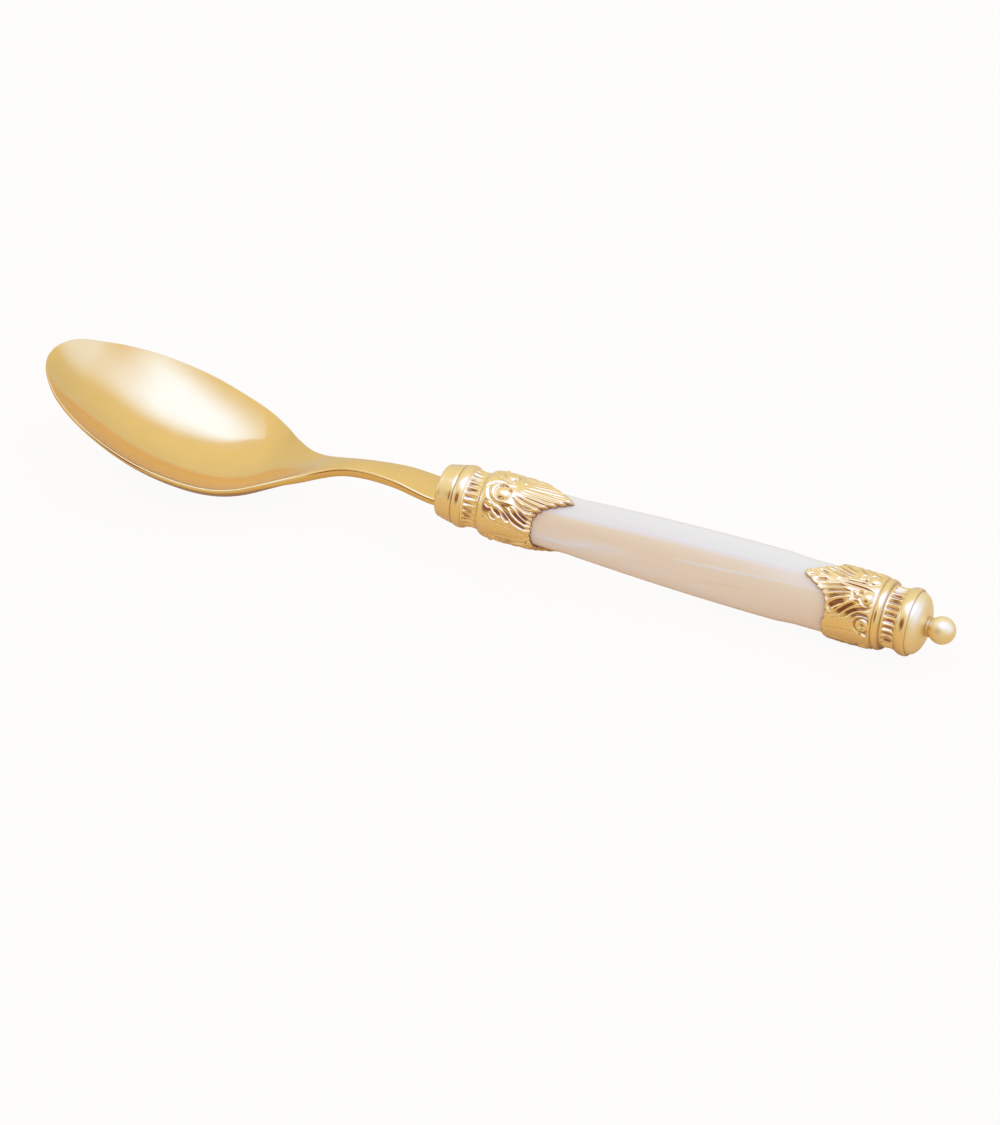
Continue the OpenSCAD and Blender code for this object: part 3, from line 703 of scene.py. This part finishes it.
pieces = [
    (spoon_blank(polished), "spoon_blank", "polished_gold"),
    (front_ferrule(cast), "front_ferrule", "cast_gold"),
    (grip(acrylic), "grip", "pearl_acrylic"),
    (end_ferrule(cast), "end_ferrule", "cast_gold"),
    (finial(cast), "finial", "polished_gold"),
]
for piece, name, slot in pieces:
    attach(piece, "root")
    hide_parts(name)
rod_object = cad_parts["tie_rod"]
rod_object.data.materials.clear()
rod_object.data.materials.append(steel)

# Floor
FLOOR = 3.0  # half its width, in metres
FLOOR_TONE = (0.88, 0.72, 0.56, 1)
FLOOR_WHITE = 0.94  # share of plain white in what the camera sees of it


def make_floor():
    """A pale warm floor, which metal reflects, and which is nearly plain white to the camera."""
    corners = [(-FLOOR, -FLOOR, 0), (FLOOR, -FLOOR, 0), (FLOOR, FLOOR, 0), (-FLOOR, FLOOR, 0)]
    mesh = bpy.data.meshes.new("floor")
    mesh.from_pydata(corners, [], [(0, 1, 2, 3)])
    mat, tree, shader = new_material("floor_pale")
    feed(tree, shader.inputs, {"Base Color": FLOOR_TONE, "Roughness": 1.0})
    white = node(tree, "ShaderNodeEmission", {"Color": WHITE, "Strength": 1.0}).outputs[0]
    seen = node(tree, "ShaderNodeLightPath").outputs["Is Camera Ray"]
    surface = shaders_mixed(tree, maths(tree, "MULTIPLY", seen, FLOOR_WHITE), shader.outputs[0], white)
    feed(tree, tree.nodes["Material Output"].inputs, {"Surface": surface})
    mesh.materials.append(mat)
    obj = bpy.data.objects.new("floor", mesh)
    bpy.context.scene.collection.objects.link(obj)
    return obj


floor = make_floor()

# World
ROOM, OVERHEAD = 0.74, 0.20
SIDE, STREAK = 0.45, 0.8
BOX_LIGHT = (1.2, 1.74, 5.3, 1)
DARK_TINT = (0.30, 0.06, 0.03)
LOWEST = 0.05  # directions lower than this count as this high when they are carried up to the ceiling
END_SLANT, FRONT_SLANT = (0.934, 0.358), (0.35, 1.0)
CRISP = 0.3  # share of the bowl's end of the box that is crisp


def toward(tree, way, direction, inner, outer):
    """1 within the inner angle of a direction, 0 beyond the outer one. Angles in degrees."""
    unit = np.array(direction) / np.linalg.norm(direction)
    dot = node(tree, "ShaderNodeVectorMath", {0: way, 1: unit}, operation="DOT_PRODUCT").outputs["Value"]
    return between(tree, dot, math.cos(math.radians(outer)), math.cos(math.radians(inner)))


def overhead_box(tree, x, y, z):
    """A soft box on a ceiling: partly crisp at the bowl's end, and feathered at its other three sides."""
    height = maths(tree, "MAXIMUM", z, LOWEST)
    over_x = maths(tree, "DIVIDE", x, height)
    over_y = maths(tree, "DIVIDE", y, height)

    def slanted(slant, low, high):
        """0 to 1 across a line on the ceiling."""
        parts = [maths(tree, "MULTIPLY", over, share) for over, share in zip((over_x, over_y), slant)]
        return between(tree, maths(tree, "ADD", *parts), low, high)

    def rest(share):
        return maths(tree, "SUBTRACT", 1.0, share)

    crisp = maths(tree, "MULTIPLY", slanted(END_SLANT, -0.80, -0.76), CRISP)
    soft = maths(tree, "MULTIPLY", slanted(END_SLANT, -0.80, -0.12), 1 - CRISP)
    # the back side fans out from x = -0.55
    fan = maths(tree, "MAXIMUM", maths(tree, "ADD", over_x, 0.55), 0.05)
    sides = [
        slanted(FRONT_SLANT, -0.82, -0.25),
        rest(between(tree, over_x, 0.38, 0.92)),
        rest(between(tree, maths(tree, "DIVIDE", over_y, fan), 0.0, 0.75)),
        between(tree, z, 0.1, 0.25),
    ]
    box = maths(tree, "ADD", crisp, soft)
    for side in sides:
        box = maths(tree, "MULTIPLY", box, side)
    return box


def make_world():
    """A dome with a dark red shape low in front. Glossy rays also see soft boxes. The camera sees white."""
    world = bpy.data.worlds.new("studio")
    bpy.context.scene.world = world
    world.use_nodes = True
    tree = world.node_tree
    way = node(tree, "ShaderNodeTexCoord").outputs["Generated"]
    x, y, z = node(tree, "ShaderNodeSeparateXYZ", {0: way}).outputs
    # a softer panel at the finial's end, and a narrow one at the bowl's end
    side = maths(tree, "MULTIPLY", toward(tree, way, (0.92, 0.15, 0.36), 8, 42), SIDE)
    streak = maths(tree, "MULTIPLY", toward(tree, way, (-0.93, -0.2, 0.31), 5, 11), STREAK)
    boxes = maths(tree, "ADD", overhead_box(tree, x, y, z), maths(tree, "ADD", side, streak))
    boxes = maths(tree, "MINIMUM", boxes, 1.0)
    dark = toward(tree, way, (-0.30, -0.86, 0.38), 12, 24)
    dome = tree.nodes["Background"]
    feed(tree, dome.inputs, {
        "Color": blended(tree, dark, WHITE, DARK_TINT),
        "Strength": maths(tree, "MULTIPLY_ADD", between(tree, z, -0.1, 1.0), OVERHEAD, ROOM),
    })
    lit = node(tree, "ShaderNodeBackground", {"Color": BOX_LIGHT}).outputs[0]
    white = node(tree, "ShaderNodeBackground", {"Color": WHITE, "Strength": 1.0}).outputs[0]
    rays = node(tree, "ShaderNodeLightPath").outputs
    share = maths(tree, "MULTIPLY", boxes, rays["Is Glossy Ray"])
    studio = shaders_mixed(tree, share, dome.outputs[0], lit)
    surface = shaders_mixed(tree, rays["Is Camera Ray"], studio, white)
    feed(tree, tree.nodes["World Output"].inputs, {"Surface": surface})


make_world()

# Camera
FIT_SCALE = 1.02  # from the lengths of the camera fit to those of the solids
AZ, EL, ROLL = math.radians(22.584), math.radians(36.137), math.radians(2.0)
DISTANCE = 1391.24 * FIT_SCALE
TARGET = np.array([FIT_SCALE * (115.4 - 105.0) + 0.9, 0, 0])
FOCAL_PX, CENTRE_PX = 6529.4, (492.37, 503.38)
SIZE_PX = (1000, 1125)
SENSOR = 36


def make_camera():
    """The camera of the fit, turned a little so that it aims at the middle of the picture."""
    back = np.array([math.sin(AZ) * math.cos(EL), -math.cos(AZ) * math.cos(EL), math.sin(EL)])
    level = np.array([math.cos(AZ), math.sin(AZ), 0.0])
    upright = np.cross(back, level)
    right = math.cos(ROLL) * level + math.sin(ROLL) * upright
    up = -math.sin(ROLL) * level + math.cos(ROLL) * upright
    off_x, off_y = [(size / 2 - centre) / FOCAL_PX for size, centre in zip(SIZE_PX, CENTRE_PX)]
    eye = to_row(TARGET + DISTANCE * back)
    back = back - right * off_x + up * off_y
    back /= np.linalg.norm(back)
    right = right - (right @ back) * back
    right /= np.linalg.norm(right)
    axes = np.array([right, np.cross(back, right), back]) @ TURN
    data = bpy.data.cameras.new("camera")
    data.sensor_width = SENSOR
    data.lens = FOCAL_PX / SIZE_PX[1] * SENSOR
    data.clip_start = 0.05
    data.clip_end = 20
    camera = bpy.data.objects.new("camera", data)
    camera.matrix_world = Matrix.Translation(Vector(eye)) @ Matrix(axes.T.tolist()).to_4x4()
    bpy.context.scene.collection.objects.link(camera)
    bpy.context.scene.camera = camera


make_camera()
bpy.context.scene.view_settings.view_transform = "Standard"
